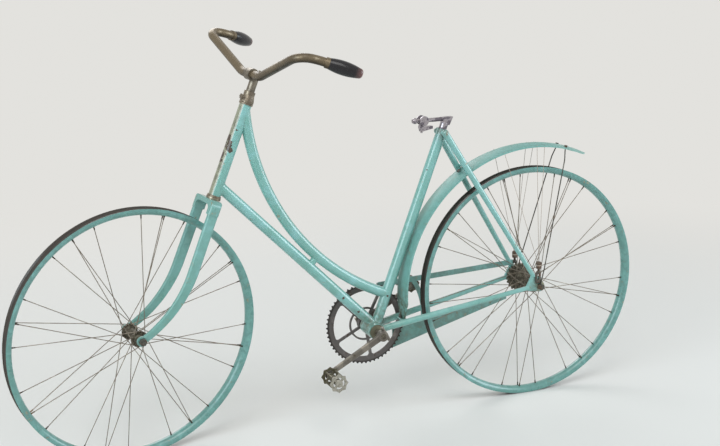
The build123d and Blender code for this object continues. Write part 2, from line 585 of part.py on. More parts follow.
# Stem: a post out of the collar and a slit sleeve for the bar, pinched by a bolt behind it.
bar_centre = on_fork(STEM_REACH, 0, STEM_TOP)
sleeve_half = FORK_LEFT * (SLEEVE_LENGTH / 2)
sleeve_radius = BAR_DIAMETER / 2 + SLEEVE_WALL
with BuildPart() as stem:
    add(rod(on_fork(0, 0, collar_base + COLLAR_HEIGHT), on_fork(0, 0, STEM_TOP), STEM_DIAMETER))
    add(rod(bar_centre - sleeve_half, bar_centre + sleeve_half, 2 * sleeve_radius))
    ear_plane = Plane(origin=bar_centre + sleeve_half, x_dir=FORK_FORWARD, z_dir=-FORK_LEFT)
    with BuildSketch(ear_plane):
        with Locations((-sleeve_radius, EAR_DEPTH / 2)):
            Rectangle(EAR_REACH + EAR_DEPTH, EAR_DEPTH)
            Rectangle(EAR_REACH + 2 * EAR_DEPTH, EAR_SLIT, mode=Mode.SUBTRACT)
    extrude(amount=SLEEVE_LENGTH)
    ear_middle = ear_plane.from_local_coords(
        Vector(-sleeve_radius - EAR_REACH / 2, EAR_DEPTH / 2, SLEEVE_LENGTH / 2)
    )
    pinch_half = fork_plane.z_dir * (EAR_DEPTH / 2 + EAR_HEAD_THICK)
    add(rod(ear_middle - pinch_half, ear_middle + pinch_half, EAR_BOLT))
    add(rod(bar_centre - sleeve_half, bar_centre + sleeve_half, BAR_DIAMETER), mode=Mode.SUBTRACT)

# Handlebar: its left half as columns of forward, side and up on the fork, and bend radius.
bar_route = [
    (14.0, 48.0, 323.0, 60.0),
    (46.0, 246.0, 398.0, 34.0),
    (-14.0, 242.0, 405.0, 50.0),
]
BAR_END = (-36.5, 253.2, 405.8)
GRIP_TIP = (-111.0, 290.5, 408.2)


def grip_ends(side):
    """Where a grip starts on the bar, and its tip."""
    return [on_fork(place[0], side * place[1], place[2]) for place in (BAR_END, GRIP_TIP)]


with BuildPart() as handlebar:
    points = [on_fork(BAR_END[0], -BAR_END[1], BAR_END[2])]
    points += [on_fork(forward, -side, up) for forward, side, up, bend in reversed(bar_route)]
    points += [on_fork(forward, side, up) for forward, side, up, bend in bar_route]
    points += [on_fork(*BAR_END)]
    bends = [bend for forward, side, up, bend in bar_route]
    with BuildLine() as bar_path:
        FilletPolyline(*points, radius=bends[::-1] + bends)
    with BuildSketch(Plane(origin=bar_path.line @ 0, z_dir=bar_path.line % 0)):
        Circle(BAR_DIAMETER / 2)
    sweep(path=bar_path.line)
    for side in (-1, 1):
        start, tip = grip_ends(side)
        add(rod(start, start - (tip - start).normalized() * FERRULE_LENGTH, FERRULE_DIAMETER))


# Grips: turned pear shapes on the ends of the bar.
def build_grip(side):
    start, tip = grip_ends(side)
    along, length = (tip - start).normalized(), span(start, tip)
    neck = length - GRIP_ROUND
    profile = Plane(origin=start, x_dir=along, z_dir=along.cross(Vector(0, 0, 1)))
    with BuildPart() as grip:
        with BuildSketch(profile):
            with BuildLine():
                Line((0, 0), (0, GRIP_ROOT))
                ThreePointArc((0, GRIP_ROOT), (length / 2, GRIP_BELLY), (neck, GRIP_NECK))
                RadiusArc((neck, GRIP_NECK), (length, GRIP_NOSE), GRIP_ROUND)
                Polyline((length, GRIP_NOSE), (length, 0), (0, 0))
            make_face()
        revolve(axis=Axis(profile.origin, profile.x_dir))
    return grip.part


with BuildPart() as grip_left:
    add(build_grip(1))
with BuildPart() as grip_right:
    add(build_grip(-1))

# Wheels. Each is set by its hub's centre, the way along its axle and the way forward.
# The columns hold those, the flange's side and radius, the barrel, the cone's side, the spokes.
front_forward = FORK_LEFT.cross(fork_plane.z_dir)
rear_forward = Vector(1, 0, 0)
FRONT = (FRONT_HUB, FORK_LEFT, front_forward, 30.0, 21.0, 12.0, 45.0, 32)
REAR = (REAR_HUB, LEFT, rear_forward, 31.0, 25.0, 17.0, 58.0, 36)


def build_rim(wheel):
    """A solid wooden rim: a hollow bed for the tyre outside and a crowned face inside."""
    centre, along, forward = wheel[:3]
    half, shoulder = RIM_WIDTH / 2, RIM_RADIUS - RIM_EDGE
    with BuildPart() as rim:
        with BuildSketch(Plane(origin=centre, x_dir=along, z_dir=forward)):
            with BuildLine():
                ThreePointArc((-half, RIM_RADIUS), (0, RIM_RADIUS - RIM_HOLLOW), (half, RIM_RADIUS))
                Line((half, RIM_RADIUS), (half, shoulder))
                ThreePointArc((half, shoulder), (0, RIM_RADIUS - RIM_DEPTH), (-half, shoulder))
                Line((-half, shoulder), (-half, RIM_RADIUS))
            make_face()
        revolve(axis=Axis(centre, along))
    return rim.part


def build_hub(wheel, with_sprocket):
    """A turned hub; on the sprocket's side its end is a thicker seat."""
    centre, along, forward, flange, radius, barrel, end, spokes = wheel
    bore = AXLE_DIAMETER / 2 + AXLE_CLEARANCE
    inner, outer, face = flange - FLANGE_THICK / 2, flange + FLANGE_THICK / 2, end - RUN_GAP
    barrel_side = [
        (radius, inner), (barrel + HUB_STEP, inner), (barrel, inner - HUB_NECK),
    ]
    plain_end = [(bore, face), (CONE_RADIUS, face), (barrel + 1.0, outer), (radius, outer)]
    left_side = plain_end + barrel_side
    right_side = left_side
    if with_sprocket:
        seat_end = CHAIN_LINE + PLATE_THICK / 2 + SPROCKET_LIP
        seat = [
            (bore, face), (CONE_RADIUS, face), (CONE_RADIUS, seat_end),
            (SPROCKET_SEAT, seat_end), (SPROCKET_SEAT, outer), (radius, outer),
        ]
        right_side = seat + barrel_side
    mirrored_side = [(reach, -height) for reach, height in reversed(right_side)]
    return turned(Plane(origin=centre, x_dir=forward, z_dir=along), left_side + mirrored_side)


def build_spokes(wheel):
    """Tangent spokes, each ending just off the flange and the rim."""
    centre, along, forward, flange, radius, barrel, end, spokes = wheel
    per_side = spokes // 2
    step = 360.0 / per_side
    up = forward.cross(along)
    offset = FLANGE_THICK / 2 + SPOKE_DIAMETER / 2 + RUN_GAP + BEARING_GAP

    def polar(reach, angle, side):
        turn = radians(angle)
        return centre + forward * (reach * cos(turn)) + up * (reach * sin(turn)) + along * side

    with BuildPart() as lacing:
        for side in (-1, 1):
            shift = 0.0 if side > 0 else step / 2
            for number in range(per_side):
                way = 1 if number % 2 else -1
                angle = number * step + shift
                start = polar(radius - SPOKE_ROOT, angle, side * flange + way * offset)
                lead = way * (SPOKE_CROSSINGS - 0.25) * step
                end_side = side * SPOKE_SIDE + way * SPOKE_SIDE / 2
                end = polar(RIM_RADIUS - RIM_DEPTH - RUN_GAP, angle + lead, end_side)
                add(rod(start, end, SPOKE_DIAMETER))
    return lacing.part


with BuildPart() as front_rim:
    add(build_rim(FRONT))
with BuildPart() as rear_rim:
    add(build_rim(REAR))
with BuildPart() as front_hub:
    add(build_hub(FRONT, False))
with BuildPart() as rear_hub:
    add(build_hub(REAR, True))
with BuildPart() as front_spokes:
    add(build_spokes(FRONT))
with BuildPart() as rear_spokes:
    add(build_spokes(REAR))


# Chain wheel and rear sprocket, with teeth for an inch-pitch chain.
def pitch_radius(teeth):
    return CHAIN_PITCH / (2 * sin(pi / teeth))


ring_root = pitch_radius(RING_TEETH) - TOOTH_HEIGHT / 2
sprocket_root = pitch_radius(SPROCKET_TEETH) - TOOTH_HEIGHT / 2
tooth_seat = 1.0
with BuildPart() as rear_sprocket:
    with BuildSketch(side_plane(PLATE_THICK / 2 - CHAIN_LINE, REAR_HUB)):
        Circle(sprocket_root)
        with PolarLocations(sprocket_root + TOOTH_HEIGHT / 2 - tooth_seat, SPROCKET_TEETH):
            Trapezoid(TOOTH_WIDTH, TOOTH_HEIGHT, TOOTH_SLOPE, rotation=-90)
        Circle(SPROCKET_SEAT, mode=Mode.SUBTRACT)
    extrude(amount=PLATE_THICK)

band_inner = ring_root - RING_BAND
with BuildPart() as chainring:
    with BuildSketch(side_plane(PLATE_THICK / 2 - CHAIN_LINE, BRACKET)) as ring_face:
        Circle(ring_root)
        with PolarLocations(ring_root + TOOTH_HEIGHT / 2 - tooth_seat, RING_TEETH):
            Trapezoid(TOOTH_WIDTH, TOOTH_HEIGHT, TOOTH_SLOPE, rotation=-90)
        Circle(band_inner, mode=Mode.SUBTRACT)
        with PolarLocations(band_inner / 2 + tooth_seat, RING_ARMS, start_angle=RING_ARM_ANGLE):
            Rectangle(band_inner, RING_ARM_WIDTH)
        corners = ring_face.vertices().filter_by(
            lambda corner: abs(Vector(corner.X, corner.Y, 0).length - band_inner) < tooth_seat
        )
        fillet(corners, RING_CORNER)
        Circle(RING_HOOP)
        Circle(RING_HOOP - RING_HOOP_BAND, mode=Mode.SUBTRACT)
        with PolarLocations(RING_HOOP / 2, RING_ARMS, start_angle=RING_ARM_ANGLE):
            Rectangle(RING_HOOP - RING_HOOP_BAND / 2, RING_ARM_WIDTH)
        Circle(RING_BOSS)
    extrude(amount=PLATE_THICK)
    ring_back = BRACKET - LEFT * (CHAIN_LINE - PLATE_THICK / 2)
    ring_seat = BRACKET - LEFT * (CRANK_SIDE - CRANK_BOSS_WIDTH / 2)
    add(rod(ring_back, ring_seat, 2 * RING_BOSS))
    add(rod(ring_back, ring_seat, CRANK_AXLE), mode=Mode.SUBTRACT)

axle_half = LEFT * (CRANK_SIDE + CRANK_BOSS_WIDTH / 2)
with BuildPart() as crank_axle:
    add(rod(BRACKET - axle_half, BRACKET + axle_half, CRANK_AXLE))

bearing_bore = CRANK_AXLE + 2 * BEARING_GAP
with BuildPart() as bracket_cups:
    for side in (-1, 1):
        mouth = BRACKET + shell_side * side
        add(rod(mouth - LEFT * side * BEARING_DEPTH, mouth, SHELL_BORE))
        add(rod(mouth, mouth + LEFT * side * BEARING_LIP, SHELL_DIAMETER - BEARING_LIP))
    add(rod(BRACKET - axle_half, BRACKET + axle_half, bearing_bore), mode=Mode.SUBTRACT)


# Cranks: slender arms with a cottered boss, an eye and the pedal's spindle.
def build_crank(side):
    """One crank and its eye's centre; side is 1 for the left and -1 for the right."""
    angle = radians(CRANK_ANGLE if side > 0 else CRANK_ANGLE + 180.0)
    run = Vector(cos(angle), 0, sin(angle))
    boss = BRACKET + LEFT * side * CRANK_SIDE
    eye = boss + run * CRANK_LENGTH
    boss_half, eye_half = LEFT * (CRANK_BOSS_WIDTH / 2), LEFT * (CRANK_EYE_WIDTH / 2)
    with BuildPart() as crank:
        with BuildSketch(Plane(origin=boss, x_dir=run.cross(LEFT), z_dir=run)):
            RectangleRounded(CRANK_WIDE, CRANK_THICK, CRANK_CORNER)
        with BuildSketch(Plane(origin=eye, x_dir=run.cross(LEFT), z_dir=run)):
            RectangleRounded(CRANK_TIP_WIDE, CRANK_TIP_THICK, CRANK_TIP_CORNER)
        loft()
        add(rod(boss - boss_half, boss + boss_half, 2 * CRANK_BOSS))
        add(rod(eye - eye_half, eye + eye_half, 2 * CRANK_EYE))
        pin = boss - run * COTTER_OFFSET
        pin_half = run.cross(LEFT) * (COTTER_LENGTH / 2)
        add(rod(pin - pin_half, pin + pin_half, COTTER_DIAMETER))
        add(rod(boss - boss_half, boss + boss_half, CRANK_AXLE), mode=Mode.SUBTRACT)
        spindle = PEDAL_START - CRANK_SIDE + PEDAL_WIDTH - PEDAL_PLATE - 1.0
        add(rod(eye, eye + LEFT * side * spindle, PEDAL_SPINDLE))
    return crank.part, eye


crank_left_part, left_eye = build_crank(1)
crank_right_part, right_eye = build_crank(-1)
with BuildPart() as crank_left:
    add(crank_left_part)
with BuildPart() as crank_right:
    add(crank_right_part)


# Pedals: two lobed end plates with windows, four thin rods between them and a round barrel.
def build_pedal(side, eye):
    out = LEFT * side
    start = eye + out * (PEDAL_START - CRANK_SIDE)
    last = PEDAL_WIDTH - PEDAL_PLATE
    lobes = []
    for number in range(2 * PEDAL_LOBES):
        reach = PEDAL_VALLEY if number % 2 else PEDAL_LOBE
        turn = pi * number / PEDAL_LOBES
        lobes.append((reach * cos(turn), reach * sin(turn)))
    plate_plane = Plane(origin=start, x_dir=(1, 0, 0), z_dir=out)
    bore = PEDAL_SPINDLE + 2 * AXLE_CLEARANCE
    with BuildPart() as pedal:
        for depth in (0.0, last):
            with BuildSketch(plate_plane.offset(depth)):
                Polygon(*lobes, align=None)
                Circle(PEDAL_WINDOW, mode=Mode.SUBTRACT)
                with PolarLocations(0, PEDAL_RODS // 2, start_angle=45.0, angular_range=180.0):
                    Rectangle(2 * PEDAL_WINDOW + 2.0, PEDAL_ROD)
                Circle(PEDAL_BARREL / 2)
            extrude(amount=PEDAL_PLATE)
        with BuildSketch(plate_plane.offset(PEDAL_PLATE / 2)):
            with PolarLocations(PEDAL_ROD_RING, PEDAL_RODS, start_angle=45.0):
                Circle(PEDAL_ROD / 2)
        extrude(amount=last)
        add(rod(start, start + out * (last + PEDAL_CAP), PEDAL_BARREL))
        add(rod(start, start + out * last, bore), mode=Mode.SUBTRACT)
    return pedal.part


with BuildPart() as pedal_left:
    add(build_pedal(1, left_eye))
with BuildPart() as pedal_right:
    add(build_pedal(-1, right_eye))

# Every piece goes to a file of its own, under its own name.
pieces = {
    "head_tube": head_tube, "headset_cups": headset_cups, "top_tube": top_tube,
    "down_tube": down_tube, "frame_strut": frame_strut, "seat_tube": seat_tube,
    "bottom_bracket": bottom_bracket, "bracket_cups": bracket_cups,
    "chain_stay_left": chain_stay_left, "chain_stay_right": chain_stay_right,
    "seat_stay_left": seat_stay_left, "seat_stay_right": seat_stay_right,
    "dropout_left": dropout_left, "dropout_right": dropout_right,
    "saddle_pillar": saddle_pillar, "saddle_clamp": saddle_clamp,
    "rear_fender": rear_fender, "stay_bridges": stay_bridges, "fender_stays": fender_stays,
    "chain_guard": chain_guard, "guard_brackets": guard_brackets, "rear_axle": rear_axle,
    "fork_crown": fork_crown, "headset_race": headset_race, "headset_collar": headset_collar,
    "fork_blade_left": fork_blade_left, "fork_blade_right": fork_blade_right,
    "front_axle": front_axle, "stem": stem, "handlebar": handlebar,
    "grip_left": grip_left, "grip_right": grip_right,
    "front_rim": front_rim, "front_spokes": front_spokes, "front_hub": front_hub,
    "rear_rim": rear_rim, "rear_spokes": rear_spokes, "rear_hub": rear_hub,
    "rear_sprocket": rear_sprocket, "crank_axle": crank_axle, "chainring": chainring,
    "crank_left": crank_left, "crank_right": crank_right,
    "pedal_left": pedal_left, "pedal_right": pedal_right,
}
for name, piece in pieces.items():
    piece.part.label = name
    export_step(piece.part, f"parts/{name}.step")
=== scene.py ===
from math import cos, pi, radians, sin, sqrt

import bmesh
import bpy
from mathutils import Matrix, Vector


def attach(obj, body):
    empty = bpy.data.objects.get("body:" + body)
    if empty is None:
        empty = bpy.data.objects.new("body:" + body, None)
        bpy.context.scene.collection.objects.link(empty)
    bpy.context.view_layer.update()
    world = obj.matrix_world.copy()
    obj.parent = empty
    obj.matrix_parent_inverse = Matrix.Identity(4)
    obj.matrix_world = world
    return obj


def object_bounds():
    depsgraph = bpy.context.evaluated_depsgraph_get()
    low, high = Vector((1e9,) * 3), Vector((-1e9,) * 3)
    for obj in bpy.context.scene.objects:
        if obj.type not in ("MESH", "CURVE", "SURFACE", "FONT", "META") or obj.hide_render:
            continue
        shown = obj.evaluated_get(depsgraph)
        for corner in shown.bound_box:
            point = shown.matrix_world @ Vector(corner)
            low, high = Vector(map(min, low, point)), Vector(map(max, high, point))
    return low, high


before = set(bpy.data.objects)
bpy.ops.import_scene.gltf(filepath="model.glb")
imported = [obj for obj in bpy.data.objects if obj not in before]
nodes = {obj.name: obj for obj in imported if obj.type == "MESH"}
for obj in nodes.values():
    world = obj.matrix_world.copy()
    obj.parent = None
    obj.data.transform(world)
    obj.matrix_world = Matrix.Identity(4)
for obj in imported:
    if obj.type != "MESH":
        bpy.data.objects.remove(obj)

cad_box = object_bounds()

# The studio: a pale floor under the wheels, four soft boxes round the bicycle over a dim even
# fill, and the camera at its left front, a little above the bars.


def shade(red, green, blue):
    """A colour from its values of 0 to 255, as the eye sees them."""
    return tuple((value / 255.0) ** 2.2 for value in (red, green, blue)) + (1.0,)


scene = bpy.context.scene
scene.view_settings.view_transform = "Standard"
camera_data = bpy.data.cameras.new("camera")
camera = bpy.data.objects.new("camera", camera_data)
camera.location = (1.4422, 3.0619, 0.4878)
camera.rotation_euler = [radians(angle) for angle in (77.105, 1.058, 157.928)]
camera_data.lens = 63.5
camera_data.sensor_width = 36.0
scene.collection.objects.link(camera)
scene.camera = camera


def add_node(tree, kind, sockets=None, **settings):
    """A shader node, with its settings and with values or other sockets for its inputs."""
    made = tree.nodes.new("ShaderNode" + kind)
    for key, value in settings.items():
        setattr(made, key, value)
    for key, value in (sockets or {}).items():
        if isinstance(value, bpy.types.NodeSocket):
            tree.links.new(value, made.inputs[key])
        else:
            made.inputs[key].default_value = value
    return made


def place_on(tree):
    """The place on the object, in metres."""
    return add_node(tree, "TexCoord").outputs["Object"]


def rising(tree, value, low, high, bottom=0.0, top=1.0):
    """Bottom up to low, top from high on, and smooth between them."""
    sockets = {
        "Value": value, "From Min": low, "From Max": high, "To Min": bottom, "To Max": top,
    }
    return add_node(tree, "MapRange", sockets, interpolation_type="SMOOTHSTEP").outputs["Result"]


def maths(tree, operation, first, second=0.0):
    """One step of arithmetic on two numbers."""
    return add_node(tree, "Math", {0: first, 1: second}, operation=operation).outputs[0]


def vectors(tree, operation, first, second=(0.0, 0.0, 0.0)):
    """One step on two places or directions: it gives a number, or another place."""
    outputs = add_node(tree, "VectorMath", {0: first, 1: second}, operation=operation).outputs
    gives_number = operation in ("DISTANCE", "DOT_PRODUCT", "LENGTH")
    return outputs["Value" if gives_number else "Vector"]


def looked_at(tree):
    """1 for rays from the camera, from a mirror-like surface or through glass, else 0."""
    rays = add_node(tree, "LightPath").outputs
    seen = maths(tree, "MAXIMUM", rays["Is Camera Ray"], rays["Is Glossy Ray"])
    return maths(tree, "MAXIMUM", seen, rays["Is Transmission Ray"])


PALE = shade(226, 225, 221)
FLOOR_HALF = 30
floor_z = min(corner[2] for corner in cad_box)
floor_mesh = bpy.data.meshes.new("studio_floor")
floor_mesh.from_pydata(
    [
        (-FLOOR_HALF, -FLOOR_HALF, floor_z), (FLOOR_HALF, -FLOOR_HALF, floor_z),
        (FLOOR_HALF, FLOOR_HALF, floor_z), (-FLOOR_HALF, FLOOR_HALF, floor_z),
    ],
    [], [(0, 1, 2, 3)],
)
floor = bpy.data.objects.new("studio_floor", floor_mesh)
scene.collection.objects.link(floor)
floor_coat = bpy.data.materials.new("studio_floor")
floor_coat.use_nodes = True
ground = floor_coat.node_tree
matt_floor = ground.nodes["Principled BSDF"]
matt_floor.inputs["Base Color"].default_value = PALE
matt_floor.inputs["Roughness"].default_value = 0.9
# Beyond the lamps' reach the floor shows as pale as it is under them.
from_middle = vectors(ground, "DISTANCE", place_on(ground), (0.27, 0.0, floor_z))
beyond = rising(ground, from_middle, 1.3, 3.2)
beyond = maths(ground, "MULTIPLY", beyond, looked_at(ground))
glow = add_node(ground, "Emission", {"Color": PALE, "Strength": 1.0}).outputs[0]
floor_mix = add_node(ground, "MixShader", {0: beyond, 1: matt_floor.outputs[0], 2: glow})
ground.links.new(floor_mix.outputs[0], ground.nodes["Material Output"].inputs["Surface"])
floor_mesh.materials.append(floor_coat)

FILL = 0.36
world = bpy.data.worlds.new("studio")
scene.world = world
world.use_nodes = True
air = world.node_tree
background = air.nodes["Background"]
background.inputs["Color"].default_value = PALE
fill_or_shown = rising(air, looked_at(air), 0.0, 1.0, FILL, 1.0)
air.links.new(fill_or_shown, background.inputs["Strength"])


def soft_lamp(name, place, target, size, power, colour):
    """A square soft box at place, turned to target."""
    lamp = bpy.data.lights.new(name, "AREA")
    lamp.shape = "RECTANGLE"
    lamp.size = size
    lamp.size_y = size
    lamp.energy = power
    lamp.color = colour
    holder = bpy.data.objects.new(name, lamp)
    holder.location = place
    holder.rotation_euler = (Vector(target) - Vector(place)).to_track_quat("-Z", "Y").to_euler()
    holder.visible_camera = False
    scene.collection.objects.link(holder)


soft_lamp("left_front", (3.9, 2.0, 1.5), (0.3, 0, -0.3), 2.7, 114.0, (0.80, 0.92, 1.0))
soft_lamp("left_rear", (-3.6, 1.8, 0.9), (0, 0, -0.3), 2.4, 104.0, (0.80, 0.91, 1.0))
soft_lamp("right_side", (0.2, -4.0, 2.4), (0.2, 0, -0.3), 3.0, 92.0, (0.97, 0.98, 1.0))
soft_lamp("high_left", (0.9, 3.0, 3.4), (0.2, 0, -0.3), 2.6, 70.0, (1.0, 0.99, 0.97))

# Frame tubes: drawn steel tubes brazed together at plain mitred joints, brush-painted in a
# mint enamel that has worn through to primer and rust at knocks, is chipped on the head,
# whose front turns a blotched beige, and is grimy about the bracket where oil and dust gathered.


def new_coat(name):
    """A new material with its node tree, its shader and the place on the object."""
    coat = bpy.data.materials.new(name)
    coat.use_nodes = True
    tree = coat.node_tree
    return coat, tree, tree.nodes["Principled BSDF"], place_on(tree)


def clouds(tree, where, scale, detail=3.0, rough=0.55, warp=0.0):
    """Soft noise about a half, in patches of some 1 / scale metres and finer with detail."""
    sockets = {
        "Vector": where, "Scale": scale, "Detail": detail, "Roughness": rough,
        "Distortion": warp,
    }
    return add_node(tree, "TexNoise", sockets).outputs["Fac"]


def tinted(tree, share, under, over):
    """The colour over laid on the colour under, by that share."""
    return add_node(tree, "Mix", {0: share, 6: under, 7: over}, data_type="RGBA").outputs[2]


def near(tree, where, places):
    """1 at any of the places and 0 beyond their reach; places hold (point, reach)."""
    found = 0.0
    for point, reach in places:
        gap = vectors(tree, "DISTANCE", where, point)
        close = rising(tree, gap, reach * 0.15, reach, 1.0, 0.0)
        found = maths(tree, "MAXIMUM", close, found)
    return found


def facing(tree, way, low, high):
    """1 where the surface looks that way in the object, 0 where it looks elsewhere."""
    normal = add_node(tree, "TexCoord").outputs["Normal"]
    return rising(tree, vectors(tree, "DOT_PRODUCT", normal, way), low, high)


def raised(tree, shader, strength, depth, height, **more):
    """Gives the surface a relief by that height, up to that depth in metres."""
    sockets = {"Strength": strength, "Distance": depth, "Height": height, **more}
    bump = add_node(tree, "Bump", sockets)
    tree.links.new(bump.outputs["Normal"], shader.inputs["Normal"])


MINT = shade(122, 176, 170)
MINT_DEEP = shade(108, 162, 152)
MINT_BLUE = shade(134, 188, 190)
MINT_GREY = shade(104, 148, 139)
PRIMER = shade(142, 139, 114)
BAND_OLIVE = shade(108, 102, 82)
CHIP_RUST = shade(84, 65, 48)
CHIP_DARK = shade(46, 39, 33)
OLD_DUST = shade(158, 170, 156)
GRIME = shade(84, 84, 66)


def mint_paint(
    name, worn=(), grimy=(), chipped=(), beige_facing=None, chipping=0.0, greyed=0.0,
    grey=MINT_GREY, dust=0.3, streak=(6.0, 6.0, 6.0), coating=0.9, matt=0.0
):
    """Old mint enamel. worn, grimy and chipped hold (point, reach); what faces the way given
    turns a blotched beige.
    """
    coat, tree, shader, where = new_coat(name)
    broad = clouds(tree, vectors(tree, "MULTIPLY", where, streak), 1.0, 3.0)
    middle = clouds(tree, where, 34.0, 3.0, 0.5)
    fine = clouds(tree, where, 260.0, 4.0, 0.6)
    patch = clouds(tree, where, 62.0, 9.0, 0.64, 0.4)
    # The enamel itself: streaks of a deeper and a bluer mint, and dust on what looks up.
    colour = tinted(tree, rising(tree, broad, 0.36, 0.62), MINT_DEEP, MINT)
    colour = tinted(tree, rising(tree, middle, 0.48, 0.74, 0.0, 0.5), colour, MINT_BLUE)
    upward = facing(tree, (0, 0, 1), 0.35, 0.95)
    dusty = maths(tree, "MULTIPLY", upward, rising(tree, middle, 0.35, 0.7))
    dusty = maths(tree, "MULTIPLY", dusty, dust)
    colour = tinted(tree, dusty, colour, OLD_DUST)
    if greyed:
        clouded = rising(tree, patch, 0.3, 0.65, greyed * 0.4, greyed)
        colour = tinted(tree, clouded, colour, grey)
    specks = rising(tree, clouds(tree, where, 420.0, 2.0), 0.67, 0.73, 0.0, 0.4)
    colour = tinted(tree, specks, colour, GRIME)
    stain = maths(tree, "MULTIPLY", near(tree, where, grimy), rising(tree, patch, 0.32, 0.62))
    colour = tinted(tree, maths(tree, "MULTIPLY", stain, 0.85), colour, GRIME)
    # Blotched beige on what faces the way given; where the enamel is gone, worn thin to primer
    # and chipped to the steel.
    if beige_facing:
        patchy = maths(tree, "MULTIPLY", patch, 2.0)
        uneven = maths(tree, "MULTIPLY", facing(tree, beige_facing, 0.25, 0.75), patchy)
        beige_band = rising(tree, uneven, 0.44, 0.60, 0.0, 0.92)
        beige_mottle = tinted(tree, rising(tree, patch, 0.46, 0.62), PRIMER, BAND_OLIVE)
        colour = tinted(tree, beige_band, colour, beige_mottle)
    thin = maths(tree, "ADD", patch, maths(tree, "MULTIPLY", near(tree, where, worn), 0.2))
    primer = rising(tree, maths(tree, "ADD", thin, chipping), 0.62, 0.70, 0.0, 0.9)
    colour = tinted(tree, primer, colour, PRIMER)
    lost = maths(tree, "ADD", patch, maths(tree, "MULTIPLY", near(tree, where, chipped), 0.28))
    chip = rising(tree, maths(tree, "ADD", lost, chipping), 0.700, 0.712)
    rust = tinted(tree, rising(tree, fine, 0.4, 0.6), CHIP_DARK, CHIP_RUST)
    colour = tinted(tree, chip, colour, rust)
    tree.links.new(colour, shader.inputs["Base Color"])
    # The shine of sound enamel, and none on grime, primer and rust.
    gloss = rising(tree, middle, 0.3, 0.7, 0.26 + matt, 0.34 + matt)
    dull = maths(tree, "MAXIMUM", chip, stain)
    dull = maths(tree, "MAXIMUM", dull, maths(tree, "MULTIPLY", primer, 0.7))
    gloss = maths(tree, "MAXIMUM", gloss, maths(tree, "MULTIPLY", dull, 0.8))
    tree.links.new(gloss, shader.inputs["Roughness"])
    shader.inputs["Coat Weight"].default_value = coating
    shader.inputs["Coat Roughness"].default_value = 0.2
    waves = maths(tree, "MULTIPLY", clouds(tree, where, 38.0, 0.0), 0.3)
    raised(tree, shader, 0.4, 0.0005, maths(tree, "SUBTRACT", waves, chip))
    return coat


def dress(coat, *names):
    """The coat goes on these CAD pieces."""
    for name in names:
        slots = nodes[name].data.materials
        slots.clear()
        slots.append(coat)


HEAD_ANGLE = radians(67.8)
HEAD_RADIUS = 0.0159
HEAD_FOOT = Vector((0.613, 0.0, -0.158))
HEAD_UP = Vector((-cos(HEAD_ANGLE), 0.0, sin(HEAD_ANGLE)))
HEAD_FORWARD = Vector((sin(HEAD_ANGLE), 0.0, cos(HEAD_ANGLE)))
LEFT = Vector((0.0, 1.0, 0.0))
BRACKET = Vector((0.186, 0.0, -0.565))
MEETING = Vector((0.177, 0.0, -0.559))
SEAT_LUG = Vector((-0.028, 0.0, -0.033))
REAR_HUB = Vector((-0.296, 0.0, -0.488))


def on_head(height, angle):
    """A point on the head tube: its height over the foot and its angle from straight ahead."""
    out = HEAD_FORWARD * cos(radians(angle)) + LEFT * sin(radians(angle))
    return HEAD_FOOT + HEAD_UP * height + out * HEAD_RADIUS


tube_paint = mint_paint(
    "frame_paint",
    chipped=[(place, 0.007) for place in (
        MEETING.lerp(HEAD_FOOT, 0.12) + Vector((0, 0.014, 0.003)),
        MEETING.lerp(HEAD_FOOT, 0.22) + Vector((0, 0.013, 0.006)),
        MEETING.lerp(HEAD_FOOT, 0.50) + Vector((0, 0.012, 0.004)),
        MEETING.lerp(SEAT_LUG, 0.16) + Vector((0, 0.014, 0)),
        MEETING.lerp(SEAT_LUG, 0.80) + Vector((0.010, 0.010, 0)),
    )],
    grimy=[
        (BRACKET, 0.075),
        (BRACKET + Vector((0, -0.03, 0.03)), 0.11),
        (SEAT_LUG, 0.05),
    ],
)
dress(
    tube_paint, "top_tube", "down_tube", "frame_strut", "seat_tube", "bottom_bracket",
    "seat_stay_left", "seat_stay_right", "chain_stay_left", "chain_stay_right",
)
head_paint = mint_paint(
    "head_paint",
    chipped=[
        (on_head(0.134, 35), 0.029), (on_head(0.127, 68), 0.017), (on_head(0.112, 10), 0.026),
        (on_head(0.096, 5), 0.017), (on_head(0.154, 10), 0.020), (on_head(0.180, 75), 0.0085),
    ],
    # The head tube's front turns a blotched beige, ragged at its edge.
    beige_facing=tuple((HEAD_FORWARD - LEFT * 0.08).normalized()),
)
dress(head_paint, "head_tube")
fork_end_paint = mint_paint(
    "fork_end_paint",
    worn=[(REAR_HUB + LEFT * side * 0.064, 0.03) for side in (-1, 1)],
    grimy=[(REAR_HUB + LEFT * side * 0.066, 0.045) for side in (-1, 1)],
)
dress(fork_end_paint, "dropout_left", "dropout_right")

# Brazing: a small hollow of brass filler round the joint where each tube meets the next. It
# was run in hot, filed smooth and painted over with the tubes.


def make_piece(name, points, faces, coat, body, slot):
    """A smooth mesh piece that rides on a body."""
    mesh = bpy.data.meshes.new(name)
    mesh.from_pydata([tuple(point) for point in points], [], faces)
    mesh.validate()
    work = bmesh.new()
    work.from_mesh(mesh)
    bmesh.ops.recalc_face_normals(work, faces=work.faces)
    work.to_mesh(mesh)
    work.free()
    mesh.shade_smooth()
    mesh.materials.append(coat)
    piece = bpy.data.objects.new(name, mesh)
    scene.collection.objects.link(piece)
    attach(piece, body)


def crossways(way):
    """Two directions square to a way and to each other."""
    way = way.normalized()
    helper = Vector((0, 0, 1)) if abs(way.z) < 0.9 else Vector((1, 0, 0))
    first = way.cross(helper).normalized()
    return first, way.cross(first).normalized()


def reach_to(start, way, centre, axis, radius):
    """How far along a line it leaves a round tube."""
    across_start = (start - centre) - axis * (start - centre).dot(axis)
    across_way = way - axis * way.dot(axis)
    a = across_way.dot(across_way)
    b = across_start.dot(across_way)
    c = across_start.dot(across_start) - radius * radius
    return (-b + sqrt(max(b * b - a * c, 0.0))) / a


SKIN = 0.0001


